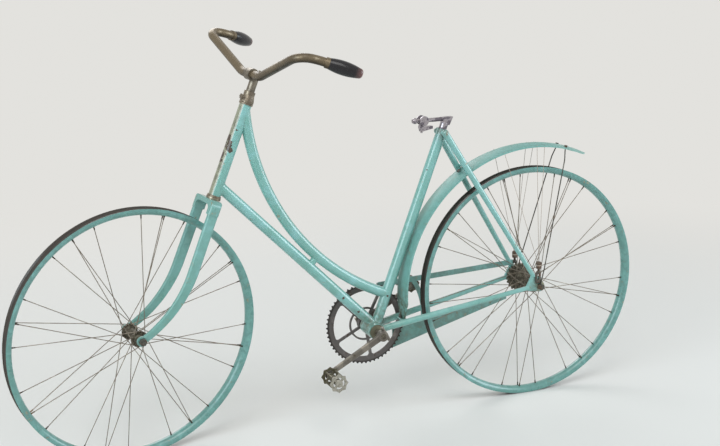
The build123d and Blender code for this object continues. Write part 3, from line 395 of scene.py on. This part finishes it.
def hollow_of_braze(start, end, radius, centre, axis, other_radius, width):
    """Points and faces of the hollow where the tube from start to end leaves another."""
    way = (end - start).normalized()
    first, second = crossways(way)
    turns, steps = 40, 5
    points, faces = [], []
    for turn in range(turns):
        angle = 2 * pi * turn / turns
        out = first * cos(angle) + second * sin(angle)
        root = start + out * radius
        root = root + way * reach_to(root, way, centre, axis, other_radius)
        over = root + out * width
        spoke = (over - centre) - axis * (over - centre).dot(axis)
        over = over - spoke + spoke.normalized() * (other_radius + SKIN)
        up = root + way * width + out * SKIN
        for step in range(steps + 1):
            t = step / steps
            points.append(over * (1 - t) ** 2 + root * 2 * t * (1 - t) + up * t * t)
        base = turn * (steps + 1)
        following = (turn + 1) % turns * (steps + 1)
        for step in range(steps):
            faces.append((base + step, base + step + 1, following + step + 1, following + step))
    return points, faces


def joined(parts):
    """Several (points, faces) as one."""
    points, faces = [], []
    for more_points, more_faces in parts:
        faces += [tuple(index + len(points) for index in face) for face in more_faces]
        points += more_points
    return points, faces


TUBE_RADIUS = 0.0143
SHELL_RADIUS = 0.022
STAY_RADIUS = 0.0095
TUBE_BRAZE = 0.006
STAY_BRAZE = 0.004
DOWN_TUBE_RISE = 0.0315
STAY_SIDE = 0.022
down_start = HEAD_FOOT + HEAD_UP * DOWN_TUBE_RISE
brazings = [
    hollow_of_braze(down_start, MEETING, TUBE_RADIUS, HEAD_FOOT, HEAD_UP, HEAD_RADIUS, TUBE_BRAZE),
    hollow_of_braze(MEETING, down_start, TUBE_RADIUS, BRACKET, LEFT, SHELL_RADIUS, TUBE_BRAZE),
    hollow_of_braze(MEETING, SEAT_LUG, TUBE_RADIUS, BRACKET, LEFT, SHELL_RADIUS, TUBE_BRAZE),
]
for side in (-1, 1):
    stay_start = BRACKET + LEFT * side * STAY_SIDE
    stay_end = Vector((-0.262, side * 0.064, -0.489))
    brazings.append(
        hollow_of_braze(stay_start, stay_end, STAY_RADIUS, BRACKET, LEFT, SHELL_RADIUS, STAY_BRAZE)
    )
make_piece("frame_brazing", *joined(brazings), tube_paint, "frame", "paint")

# Bracket bearing: a threaded cup in each end of the shell, with a turned axle through them,
# all of it steel, brown and thick with old oil and dust.


def edges(tree, reach):
    """1 on the sharp edges of a piece and 0 on its faces, and the rounded normal."""
    rounded = add_node(tree, "Bevel", {"Radius": reach}, samples=4).outputs["Normal"]
    flat = add_node(tree, "NewGeometry").outputs["Normal"]
    return rising(tree, vectors(tree, "DOT_PRODUCT", rounded, flat), 0.97, 0.80), rounded


def old_metal(
    name, bright, dull, rust, dulled, rusted, gloss=(0.3, 0.6), grain=60.0, metallic=0.95
):
    """Old metal: bright, tarnished and rusted patches by share, and edges rubbed bare."""
    coat, tree, shader, where = new_coat(name)
    patch = clouds(tree, where, grain, 8.0, 0.65, 0.3)
    other = clouds(tree, where, grain * 0.45, 6.0, 0.6)
    fine = clouds(tree, where, 520.0, 3.0, 0.6)
    edge, rounded = edges(tree, 0.0009)
    dulling = rising(tree, other, 0.62 - dulled * 0.3, 0.72 - dulled * 0.3)
    dulling = maths(tree, "SUBTRACT", dulling, maths(tree, "MULTIPLY", edge, 0.5))
    dulling = maths(tree, "MAXIMUM", dulling, 0.0)
    rusting = rising(tree, patch, 0.68 - rusted * 0.3, 0.74 - rusted * 0.3)
    colour = tinted(tree, dulling, bright, dull)
    colour = tinted(tree, rising(tree, fine, 0.45, 0.75, 0.0, 0.4), colour, dull)
    colour = tinted(tree, rusting, colour, rust)
    tree.links.new(colour, shader.inputs["Base Color"])
    metal = maths(tree, "SUBTRACT", metallic, maths(tree, "MULTIPLY", rusting, 0.85))
    metal = maths(tree, "SUBTRACT", metal, maths(tree, "MULTIPLY", dulling, 0.35))
    tree.links.new(maths(tree, "MAXIMUM", metal, 0.0), shader.inputs["Metallic"])
    rough = rising(tree, other, 0.3, 0.7, gloss[0], gloss[1])
    rough = maths(tree, "MAXIMUM", rough, maths(tree, "MULTIPLY", rusting, 0.85))
    tree.links.new(rough, shader.inputs["Roughness"])
    scale = maths(tree, "MULTIPLY", rusting, 0.6)
    relief = maths(tree, "ADD", maths(tree, "MULTIPLY", fine, 0.4), scale)
    raised(tree, shader, 0.5, 0.0004, relief, Normal=rounded)
    return coat


OIL_DARK = shade(80, 74, 64)
OIL_DUST = shade(102, 96, 82)
greasy_steel = old_metal(
    "greasy_steel", shade(116, 109, 95), OIL_DARK, OIL_DUST, 1.0, 0.6, (0.45, 0.8), 130.0
)
dusty_cups = old_metal(
    "dusty_cups", shade(122, 117, 97), shade(98, 95, 77), shade(78, 71, 58), 0.9, 0.4,
    (0.5, 0.8), 90.0, metallic=0.4,
)
dress(greasy_steel, "crank_axle")
dress(dusty_cups, "bracket_cups")

# Saddle pillar and clamp: a short nickelled post with a forged head and an arm forward, and
# on the arm the casting that grips a saddle's wires. The plating is dull but mostly there.
NICKEL = shade(168, 162, 167)
NICKEL_DULL = shade(104, 97, 104)
PIT_RUST = shade(74, 56, 42)
dull_nickel = old_metal(
    "dull_nickel", NICKEL, NICKEL_DULL, PIT_RUST, 0.5, 0.22, (0.22, 0.42), 120.0
)
dress(dull_nickel, "saddle_pillar", "saddle_clamp")

# Rear mudguard: a thin crowned band, painted like the frame and paler towards its tail,
# bolted to two painted cross tubes, with a dark wire stay each side. The bolt heads are domed
# and rusty.


def overlaid(coat, share, over):
    """Lays the colour over on the colour that the coat has, by that share."""
    tree = coat.node_tree
    base = tree.nodes["Principled BSDF"].inputs["Base Color"]
    tree.links.new(tinted(tree, share, base.links[0].from_socket, over), base)


TAIL_PALE = shade(172, 196, 188)
fender_paint = mint_paint(
    "mudguard_paint",
    grimy=[(Vector((0.09, 0, -0.53)), 0.1)],
    greyed=0.75, dust=0.12, streak=(4.0, 14.0, 4.0), coating=0.0, matt=0.2,
)
tree = fender_paint.node_tree
where = place_on(tree)
# The mint turns paler in uneven patches towards the mudguard's tail.
tail = near(tree, where, [(Vector((-0.50, 0, -0.12)), 0.20)])
uneven = rising(tree, clouds(tree, where, 30.0), 0.3, 0.7, 0.3, 0.75)
overlaid(fender_paint, maths(tree, "MULTIPLY", tail, uneven), TAIL_PALE)
dress(fender_paint, "rear_fender")
dress(tube_paint, "stay_bridges")
dark_wire = old_metal(
    "dark_wire", shade(112, 108, 100), shade(70, 68, 62), shade(84, 66, 50), 0.9, 0.4
)
dress(dark_wire, "fender_stays")


def rings_along(path, radii, sides=8):
    """Points and faces of a round body that follows a path with a radius at each point."""
    points, faces = [], []
    for index, (place, radius) in enumerate(zip(path, radii)):
        ahead = path[min(index + 1, len(path) - 1)] - path[max(index - 1, 0)]
        first, second = crossways(ahead)
        for number in range(sides):
            angle = 2 * pi * number / sides
            points.append(place + (first * cos(angle) + second * sin(angle)) * radius)
        if index:
            below, above = (index - 1) * sides, index * sides
            for number in range(sides):
                after = (number + 1) % sides
                faces.append((below + number, below + after, above + after, above + number))
    last = (len(path) - 1) * sides
    faces.append(tuple(reversed(range(sides))))
    faces.append(tuple(range(last, last + sides)))
    return points, faces


CROWN_REACH = 0.4018
BOLT_ANGLES = (57.0, -7.5)
BOLT_HEIGHTS = (0, 0.0011, 0.0012, 0.0026, 0.0036, 0.0040)
BOLT_RADII = (0.0066, 0.0066, 0.0042, 0.0040, 0.0028, 0.0012)
fender_bolts = []
for angle in BOLT_ANGLES:
    out = Vector((cos(radians(angle)), 0, sin(radians(angle))))
    path = [REAR_HUB + out * (CROWN_REACH + height) for height in BOLT_HEIGHTS]
    fender_bolts.append(rings_along(path, BOLT_RADII, 20))
rusty_steel = old_metal(
    "rusty_steel", shade(120, 117, 110), shade(88, 86, 80), shade(92, 76, 62), 0.9, 0.5, (0.4, 0.7)
)
make_piece("mudguard_bolts", *joined(fender_bolts), rusty_steel, "frame", "rusty_steel")

# Chain guard: an open loop of thin board beside the chain's run, painted with the frame and
# gone dull and grey, held clear of the wheels on two studs.
GUARD_GREY = shade(100, 128, 121)
guard_paint = mint_paint(
    "guard_paint", greyed=0.95, grey=GUARD_GREY, chipping=0.004, coating=0.2, matt=0.1
)
dress(guard_paint, "chain_guard")

# Lacing posts: on each rear fork end a slotted upright with a round post on top, and from the
# post three thin strings, stretched to the mudguard's edge, all that is left of its lacing.


def from_hub(reach, side, rise):
    """A point by its reach, side and rise from the rear hub."""
    return REAR_HUB + Vector((reach, side, rise))


PLATE_INNER = 0.0671
PLATE_OUTER = 0.0708
PLATE_BEVEL = 0.0007
PLATE_MIDDLE = (0.007, 0.029)
PLATE_OUTLINE = [
    (0.0, 0.0105), (0.012, 0.0095), (0.0165, 0.017), (0.0165, 0.036), (0.013, 0.0435),
    (0.008, 0.0465), (0.002, 0.0465), (-0.002, 0.0415), (-0.0015, 0.022),
]
PLATE_SLOT = [
    (0.0055, 0.020), (0.0085, 0.0195), (0.0095, 0.022), (0.0095, 0.034), (0.008, 0.0365),
    (0.0065, 0.0375), (0.005, 0.0370), (0.004, 0.0345), (0.0042, 0.0225),
]


def upright(side):
    """Points and faces of one slotted plate that stands on a fork end."""
    inner, outer = side * PLATE_INNER, side * PLATE_OUTER
    corners = [(place, -1) for place in PLATE_OUTLINE] + [(place, 1) for place in PLATE_SLOT]
    points, faces = [], []
    for depth, shrink in ((inner, 0.0), (outer - side * PLATE_BEVEL, 0.0), (outer, PLATE_BEVEL)):
        for (reach, rise), sign in corners:
            out = Vector((reach - PLATE_MIDDLE[0], rise - PLATE_MIDDLE[1])).normalized()
            away = out * shrink * sign
            points.append(from_hub(reach + away.x, depth, rise + away.y))
    count = len(PLATE_OUTLINE)
    level = 2 * count
    for number in range(count):
        after = (number + 1) % count
        for base in (0, level):
            faces.append((base + number, base + after, base + level + after, base + level + number))
            faces.append((base + count + number, base + count + after,
                          base + level + count + after, base + level + count + number))
        for base in (0, 2 * level):
            faces.append((base + number, base + after, base + count + after, base + count + number))
    return points, faces


POST_AHEAD = 0.005
POST_SIDE = 0.069
POST_PROFILE = (
    (0.0455, 0.0034), (0.0520, 0.0034), (0.0525, 0.0068), (0.0540, 0.0076), (0.0590, 0.0076),
    (0.0600, 0.0066), (0.0640, 0.0066), (0.0650, 0.0076), (0.0700, 0.0074), (0.0722, 0.0050),
    (0.0730, 0.0015),
)
STRING_RADIUS = 0.0006
STRING_LOOP = 0.0072
# Each string's angle up to the mudguard, and the height of its loop on the post.
STRINGS = ((76.0, 0.0608), (91.0, 0.0622), (94.5, 0.0634))
MUDGUARD_EDGE = 0.3945
MUDGUARD_SIDE = 0.0305
uprights, posts, strings = [], [], []
for side in (-1, 1):
    uprights.append(upright(side))
    middle = side * POST_SIDE
    posts.append(rings_along(
        [from_hub(POST_AHEAD, middle, height) for height, radius in POST_PROFILE],
        [radius for height, radius in POST_PROFILE], 20,
    ))
    for angle, rise in STRINGS:
        start = from_hub(POST_AHEAD, middle, rise)
        end = from_hub(
            cos(radians(angle)) * MUDGUARD_EDGE, side * MUDGUARD_SIDE,
            sin(radians(angle)) * MUDGUARD_EDGE,
        )
        out = (end - start).normalized()
        strings.append(rings_along([start + out * 0.004, end], [STRING_RADIUS] * 2, 6))
        loop = []
        for turn in range(13):
            ahead = POST_AHEAD + cos(turn * pi / 6) * STRING_LOOP
            loop.append(from_hub(ahead, middle + sin(turn * pi / 6) * STRING_LOOP, rise))
        strings.append(rings_along(loop, [STRING_RADIUS] * 13, 6))
post_brown = old_metal(
    "post_brown", shade(112, 98, 86), shade(92, 78, 67), shade(84, 64, 52), 0.8, 0.5,
    (0.45, 0.7), 90.0, metallic=0.6,
)
STRING_PALE = shade(188, 174, 160)
STRING_BROWN = shade(138, 122, 108)
string_coat, tree, shader, where = new_coat("lacing_string")
fibres = clouds(tree, where, 900.0, 4.0, 0.7)
colour = tinted(tree, rising(tree, fibres, 0.35, 0.65), STRING_BROWN, STRING_PALE)
tree.links.new(colour, shader.inputs["Base Color"])
tree.links.new(rising(tree, fibres, 0.3, 0.7, 0.7, 0.95), shader.inputs["Roughness"])
raised(tree, shader, 0.6, 0.0002, fibres)
make_piece("lacing_uprights", *joined(uprights), rusty_steel, "frame", "rusty_steel")
make_piece("lacing_posts", *joined(posts), post_brown, "frame", "rusty_steel")
make_piece("lacing_strings", *joined(strings), string_coat, "frame", "wire")

# Head bearing: pressed cups top and bottom, a lower race on the crown and a coned top
# collar with its pinch bolt. The plating has gone brown.
brown_plate = old_metal(
    "brown_plate", shade(134, 123, 107), shade(104, 93, 79), shade(78, 66, 53), 0.7, 0.3,
    (0.35, 0.55), 80.0, metallic=0.7,
)
race_steel = old_metal(
    "race_steel", shade(148, 140, 124), shade(110, 101, 86), shade(66, 55, 44), 0.6, 0.3,
    (0.3, 0.5), 80.0,
)
dress(brown_plate, "headset_cups", "headset_collar")
dress(race_steel, "headset_race")

# Fork: two broad blades brazed under a box crown, painted with the frame. The crown's
# shoulders are worn and the blades are grimy at the axle, where plain nuts hold the wheel.
FORK_TURN = radians(10.8)
FORK_FORWARD = HEAD_FORWARD * cos(FORK_TURN) + LEFT * sin(FORK_TURN)
FORK_LEFT = LEFT * cos(FORK_TURN) - HEAD_FORWARD * sin(FORK_TURN)


def on_fork(forward, side, up):
    """A point in the fork: ahead of the steering axis, to the left and up, in metres."""
    return HEAD_FOOT + FORK_FORWARD * forward + FORK_LEFT * side + HEAD_UP * up


fork_paint = mint_paint(
    "fork_paint",
    worn=[(on_fork(0.03, side * 0.045, -0.014), 0.012) for side in (-1, 1)],
    grimy=[(on_fork(0.086, 0, -0.39), 0.07)],
    greyed=0.6, coating=0.4,
)
dress(fork_paint, "fork_crown", "fork_blade_left", "fork_blade_right")
dress(rusty_steel, "front_axle", "rear_axle")

# Stem and handlebar: a nickelled post with a pinched sleeve, and a bar swept up, out and
# back. The bar's plating has turned to a brown bronze with a tan sheen, and painted shade
# darkens it below.
stem_plate = old_metal(
    "stem_plate", shade(129, 121, 109), shade(99, 91, 80), PIT_RUST, 0.6, 0.15, (0.32, 0.48),
    metallic=0.8,
)
bar_bronze = old_metal(
    "bar_bronze", shade(119, 106, 86), shade(94, 82, 64), shade(76, 64, 50), 0.5, 0.05,
    (0.32, 0.42), 24.0, metallic=0.6,
)
# Painted shade: the bar's colour darkens on the faces that look down.
shaded_underside = facing(bar_bronze.node_tree, (0, 0, -1), -0.2, 0.9)
overlaid(bar_bronze, shaded_underside, shade(60, 51, 39))
dress(stem_plate, "stem")
dress(bar_bronze, "handlebar")

# Grips: turned black composition, pushed on the bar's ends, with a polish from use and a worn,
# greyish red nose.
GRIP_BLACK = shade(27, 25, 29)
GRIP_SCUFF = shade(62, 56, 55)
GRIP_WORN = shade(128, 92, 89)
grip_coat, tree, shader, where = new_coat("black_grip")
scratches = clouds(tree, where, 120.0, 6.0, 0.7, 1.5)
noses = near(tree, where, [(on_fork(-0.111, side * 0.2905, 0.408), 0.026) for side in (-1, 1)])
nose_wear = maths(tree, "MULTIPLY", noses, rising(tree, scratches, 0.3, 0.55, 0.3, 1.0))
colour = tinted(tree, rising(tree, scratches, 0.5, 0.8, 0.0, 0.35), GRIP_BLACK, GRIP_SCUFF)
colour = tinted(tree, nose_wear, colour, GRIP_WORN)
tree.links.new(colour, shader.inputs["Base Color"])
tree.links.new(rising(tree, scratches, 0.35, 0.7, 0.22, 0.38), shader.inputs["Roughness"])
shader.inputs["Specular IOR Level"].default_value = 0.3
shader.inputs["Coat Weight"].default_value = 0.3
shader.inputs["Coat Roughness"].default_value = 0.12
raised(tree, shader, 0.25, 0.0003, scratches)
dress(grip_coat, "grip_left", "grip_right")

# Rims: bent wood, painted mint on the sides and inside, with the hollow bed left bare and
# glue-stained, and its wood darkened further by painted shade. The paint ends in an uneven
# line along the edges.
RIM_GREY = shade(89, 133, 127)
# Both bed tones are darkened past the bare wood's own: painted shade in the hollow bed.
BED_WOOD_SHADED = shade(64, 56, 48)
BED_DARK_SHADED = shade(36, 32, 28)
# A wheel is its centre, the way along its axle and the way to spoke 0, then the side and the
# radius of its flanges, and the number of its spokes.
FRONT_HUB = on_fork(0.086, 0.0, -0.3916)
FRONT = (FRONT_HUB, FORK_LEFT, FORK_LEFT.cross(HEAD_UP), 0.030, 0.021, 32)
REAR = (REAR_HUB, LEFT, Vector((1, 0, 0)), 0.031, 0.025, 36)


def rim_finish(name, wheel):
    """Mint paint on the sides of a rim and bare wood in its bed."""
    centre, along, forward = wheel[:3]
    coat = mint_paint(name, greyed=0.9, grey=RIM_GREY, streak=(9.0, 9.0, 9.0), coating=0.5)
    tree = coat.node_tree
    where = place_on(tree)
    arm = vectors(tree, "SUBTRACT", where, centre)
    side = vectors(tree, "DOT_PRODUCT", arm, along)
    ahead = vectors(tree, "DOT_PRODUCT", arm, forward)
    above = vectors(tree, "DOT_PRODUCT", arm, forward.cross(along))
    turn = maths(tree, "ARCTAN2", above, ahead)
    # The grain runs round the rim: long in the turn, and fine from side to side.
    grain_place = add_node(tree, "CombineXYZ", {
        "X": maths(tree, "MULTIPLY", turn, 9.0), "Y": maths(tree, "MULTIPLY", side, 900.0),
    }).outputs[0]
    grain = clouds(tree, grain_place, 1.0, 5.0, 0.6)
    wood = tinted(tree, rising(tree, grain, 0.4, 0.62), BED_DARK_SHADED, BED_WOOD_SHADED)
    normal = add_node(tree, "TexCoord").outputs["Normal"]
    outward = vectors(tree, "DOT_PRODUCT", normal, vectors(tree, "NORMALIZE", arm))
    ragged = maths(tree, "MULTIPLY", clouds(tree, where, 45.0, 6.0, 0.6), 0.35)
    bare = rising(tree, maths(tree, "ADD", outward, ragged), 0.60, 0.66)
    overlaid(coat, bare, wood)
    roughness = tree.nodes["Principled BSDF"].inputs["Roughness"]
    painted = roughness.links[0].from_socket
    matt = maths(tree, "MAXIMUM", painted, maths(tree, "MULTIPLY", bare, 0.9))
    tree.links.new(matt, roughness)
    return coat


dress(rim_finish("front_rim_paint", FRONT), "front_rim")
dress(rim_finish("rear_rim_paint", REAR), "rear_rim")

# Spokes: thin plain wire gone brown, headed and bent through the flange at one end, and
# threaded into a nipple through the rim at the other.
spoke_brown = old_metal(
    "spoke_brown", shade(150, 141, 128), shade(118, 108, 96), shade(104, 86, 70), 0.8, 0.35,
    (0.35, 0.6),
)
nipple_brass = old_metal(
    "nipple_brass", shade(112, 92, 62), shade(64, 54, 42), shade(52, 44, 36), 0.9, 0.5
)
dress(spoke_brown, "front_spokes", "rear_spokes")
RIM_HOLES = 0.3117
CROSSING = 2.75


def spoke_ends(wheel):
    """Each spoke of a wheel as (flange end, rim end, the way through the flange)."""
    centre, along, forward, flange, radius, count = wheel
    per_side = count // 2
    step = 2 * pi / per_side
    up = forward.cross(along)
    found = []
    for side in (-1, 1):
        shift = 0.0 if side > 0 else step / 2
        for number in range(per_side):
            way = 1 if number % 2 else -1
            turn = number * step + shift
            lead = turn + way * CROSSING * step
            start = centre + (forward * cos(turn) + up * sin(turn)) * (radius - 0.0015)
            start = start + along * (side * flange + way * 0.0033)
            end = centre + (forward * cos(lead) + up * sin(lead)) * RIM_HOLES
            end = end + along * (side * 0.0032 + way * 0.0016)
            found.append((start, end, along * -way))
    return found


WIRE = 0.00101
for wheel, name, body in ((FRONT, "front", "front_wheel"), (REAR, "rear", "rear_wheel")):
    nipples, elbows = [], []
    for start, end, through in spoke_ends(wheel):
        way = (end - start).normalized()
        nipples.append(rings_along(
            [end - way * 0.009, end - way * 0.0085, end - way * 0.002, end + way * 0.003],
            [0.0011, 0.0016, 0.0018, 0.0027],
        ))
        elbows.append(rings_along(
            [
                start + way * 0.004, start + way * 0.001, start + through * 0.0012,
                start + through * 0.0052, start + through * 0.0053, start + through * 0.0062,
            ],
            [WIRE, WIRE, WIRE, WIRE, 0.002, 0.0012],
        ))
    make_piece(name + "_nipples", *joined(nipples), nipple_brass, body, "spoke_wire")
    make_piece(name + "_spoke_heads", *joined(elbows), spoke_brown, body, "spoke_wire")

# Hubs: turned steel barrels with two flanges, under a crust of oil and dust, and the plain
# toothed sprocket on the right of the rear one.
dress(greasy_steel, "front_hub", "rear_hub", "rear_sprocket")

# Chain wheel and cranks: a stamped wheel on five thin arms with oily teeth, and slender
# cottered cranks with rubbed faces, all of them brown steel.
TEETH_REACH = (0.1045, 0.110)
TOOTH_OIL = shade(44, 40, 36)
wheel_steel = old_metal(
    "chain_wheel_steel", shade(124, 118, 115), shade(97, 92, 90), shade(82, 70, 64), 0.8, 0.4,
    (0.35, 0.6), 70.0, metallic=0.8,
)
tree = wheel_steel.node_tree
arm = vectors(tree, "SUBTRACT", place_on(tree), BRACKET)
arm = vectors(tree, "MULTIPLY", arm, (1.0, 0.0, 1.0))
oily = rising(tree, vectors(tree, "LENGTH", arm), *TEETH_REACH, 0.0, 0.85)
overlaid(wheel_steel, oily, TOOTH_OIL)
crank_steel = old_metal(
    "crank_steel", shade(136, 129, 119), shade(102, 96, 88), shade(82, 71, 60), 0.6, 0.2,
    (0.35, 0.5), 60.0, metallic=0.75,
)
dress(wheel_steel, "chainring")
dress(crank_steel, "crank_left", "crank_right")

# Pedals: a barrel that turns on the crank's spindle, a lobed plate at each end and four
# rods between them. The outer plate is rubbed bright.
OUTER_PLATE = (0.1455, 0.1468)
PLATE_BRIGHT = shade(164, 159, 147)
pedal_steel = old_metal(
    "pedal_steel", shade(112, 106, 88), shade(84, 80, 62), shade(74, 62, 46), 0.8, 0.5,
    (0.4, 0.6), 90.0, metallic=0.7,
)
tree = pedal_steel.node_tree
where = place_on(tree)
side = add_node(tree, "SeparateXYZ", {0: where}).outputs["Y"]
outer = rising(tree, maths(tree, "ABSOLUTE", side), *OUTER_PLATE)
scuffs = rising(tree, clouds(tree, where, 160.0, 5.0, 0.6), 0.42, 0.66, 0.95, 0.45)
overlaid(pedal_steel, maths(tree, "MULTIPLY", outer, scuffs), PLATE_BRIGHT)
dress(pedal_steel, "pedal_left", "pedal_right")
